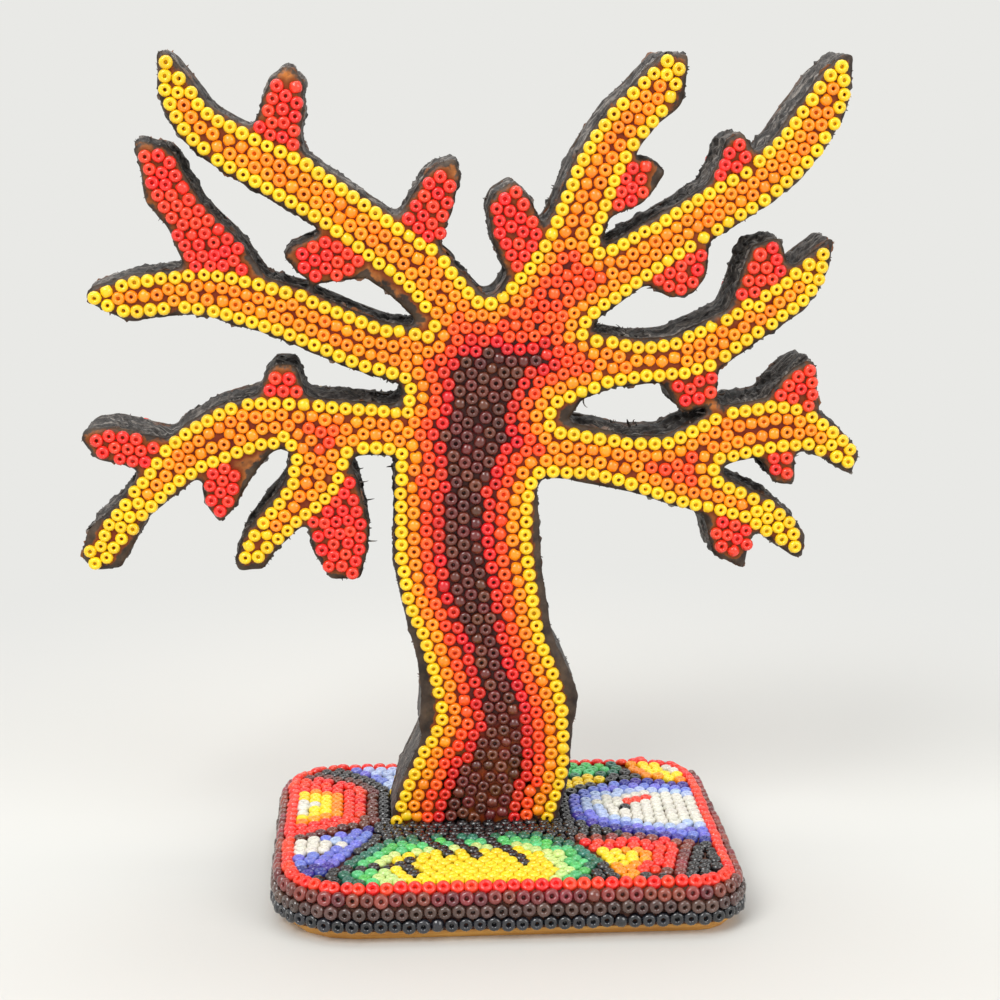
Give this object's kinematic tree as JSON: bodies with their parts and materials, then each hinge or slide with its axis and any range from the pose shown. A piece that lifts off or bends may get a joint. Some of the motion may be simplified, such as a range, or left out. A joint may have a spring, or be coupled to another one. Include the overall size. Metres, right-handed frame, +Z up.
{
  "type": "beaded tree of life figure",
  "caption": "Free-standing folk art tree of life: a sawn wooden tree on a plate, both coated with wax and set with rows of glass seed beads.",
  "frame": {"origin": "middle of the plate's underside", "axes": "+X to the tree's right as seen from the front, +Y to the back, +Z up"},
  "size_m": [0.1265, 0.0604, 0.1349],
  "materials": {
    "tree_wood": "rough sawn, stained black-brown",
    "bare_wood": "plain sawn softwood",
    "wax": "amber beeswax, soft gloss",
    "beads_yellow": "glossy",
    "beads_orange": "glossy",
    "beads_vermilion": "glossy",
    "beads_red": "glossy",
    "beads_brown": "glossy",
    "beads_coral": "glossy",
    "beads_black": "glossy",
    "beads_oxblood": "glossy",
    "beads_white": "glossy",
    "beads_light_blue": "glossy",
    "beads_periwinkle": "glossy",
    "beads_dark_blue": "glossy",
    "beads_pale_green": "glossy",
    "beads_green": "glossy",
    "beads_dark_green": "glossy"
  },
  "bodies": {
    "root": {"base_beads_bush_dark_green": "beads_dark_green", "base_beads_bush_green": "beads_green", "base_beads_corner_orange": "beads_orange", "base_beads_corner_white": "beads_white", "base_beads_corner_yellow": "beads_yellow", "base_beads_eye_bead": "beads_black", "base_beads_fan_border": "beads_oxblood", "base_beads_fan_orange": "beads_orange", "base_beads_fan_red": "beads_coral", "base_beads_fan_yellow": "beads_yellow", "base_beads_ground_black": "beads_black", "base_beads_head_dark_blue": "beads_dark_blue", "base_beads_head_periwinkle": "beads_periwinkle", "base_beads_head_white": "beads_white", "base_beads_leaf_dark_green": "beads_dark_green", "base_beads_leaf_green": "beads_green", "base_beads_leaf_lines": "beads_black", "base_beads_leaf_pale": "beads_pale_green", "base_beads_leaf_yellow": "beads_yellow", "base_beads_mouth_dash": "beads_coral", "base_beads_patch_back_blue": "beads_periwinkle", "base_beads_patch_back_white": "beads_light_blue", "base_beads_patch_dark_blue": "beads_dark_blue", "base_beads_patch_light_blue": "beads_periwinkle", "base_beads_patch_white": "beads_white", "base_beads_strip_yellow": "beads_yellow", "base_beads_sun_border": "beads_brown", "base_beads_sun_orange": "beads_orange", "base_beads_sun_outline": "beads_black", "base_beads_sun_red": "beads_coral", "base_beads_sun_white": "beads_white", "base_beads_sun_yellow": "beads_yellow", "base_board": "bare_wood", "base_wax": "wax", "fixing_dowels": "bare_wood", "rim_beads_black": "beads_black", "rim_beads_brown": "beads_brown", "rim_beads_oxblood": "beads_oxblood", "rim_beads_red": "beads_coral", "tree_beads_brown_back": "beads_brown", "tree_beads_brown_front": "beads_brown", "tree_beads_orange_back": "beads_orange", "tree_beads_orange_front": "beads_orange", "tree_beads_red_back": "beads_red", "tree_beads_red_front": "beads_red", "tree_beads_vermilion_back": "beads_vermilion", "tree_beads_vermilion_front": "beads_vermilion", "tree_beads_yellow_back": "beads_yellow", "tree_beads_yellow_front": "beads_yellow", "tree_board": "tree_wood", "tree_wax_back": "wax", "tree_wax_front": "wax", "twig_beads_coral_back": "beads_coral", "twig_beads_coral_front": "beads_coral"}
  },
  "joints": []
}
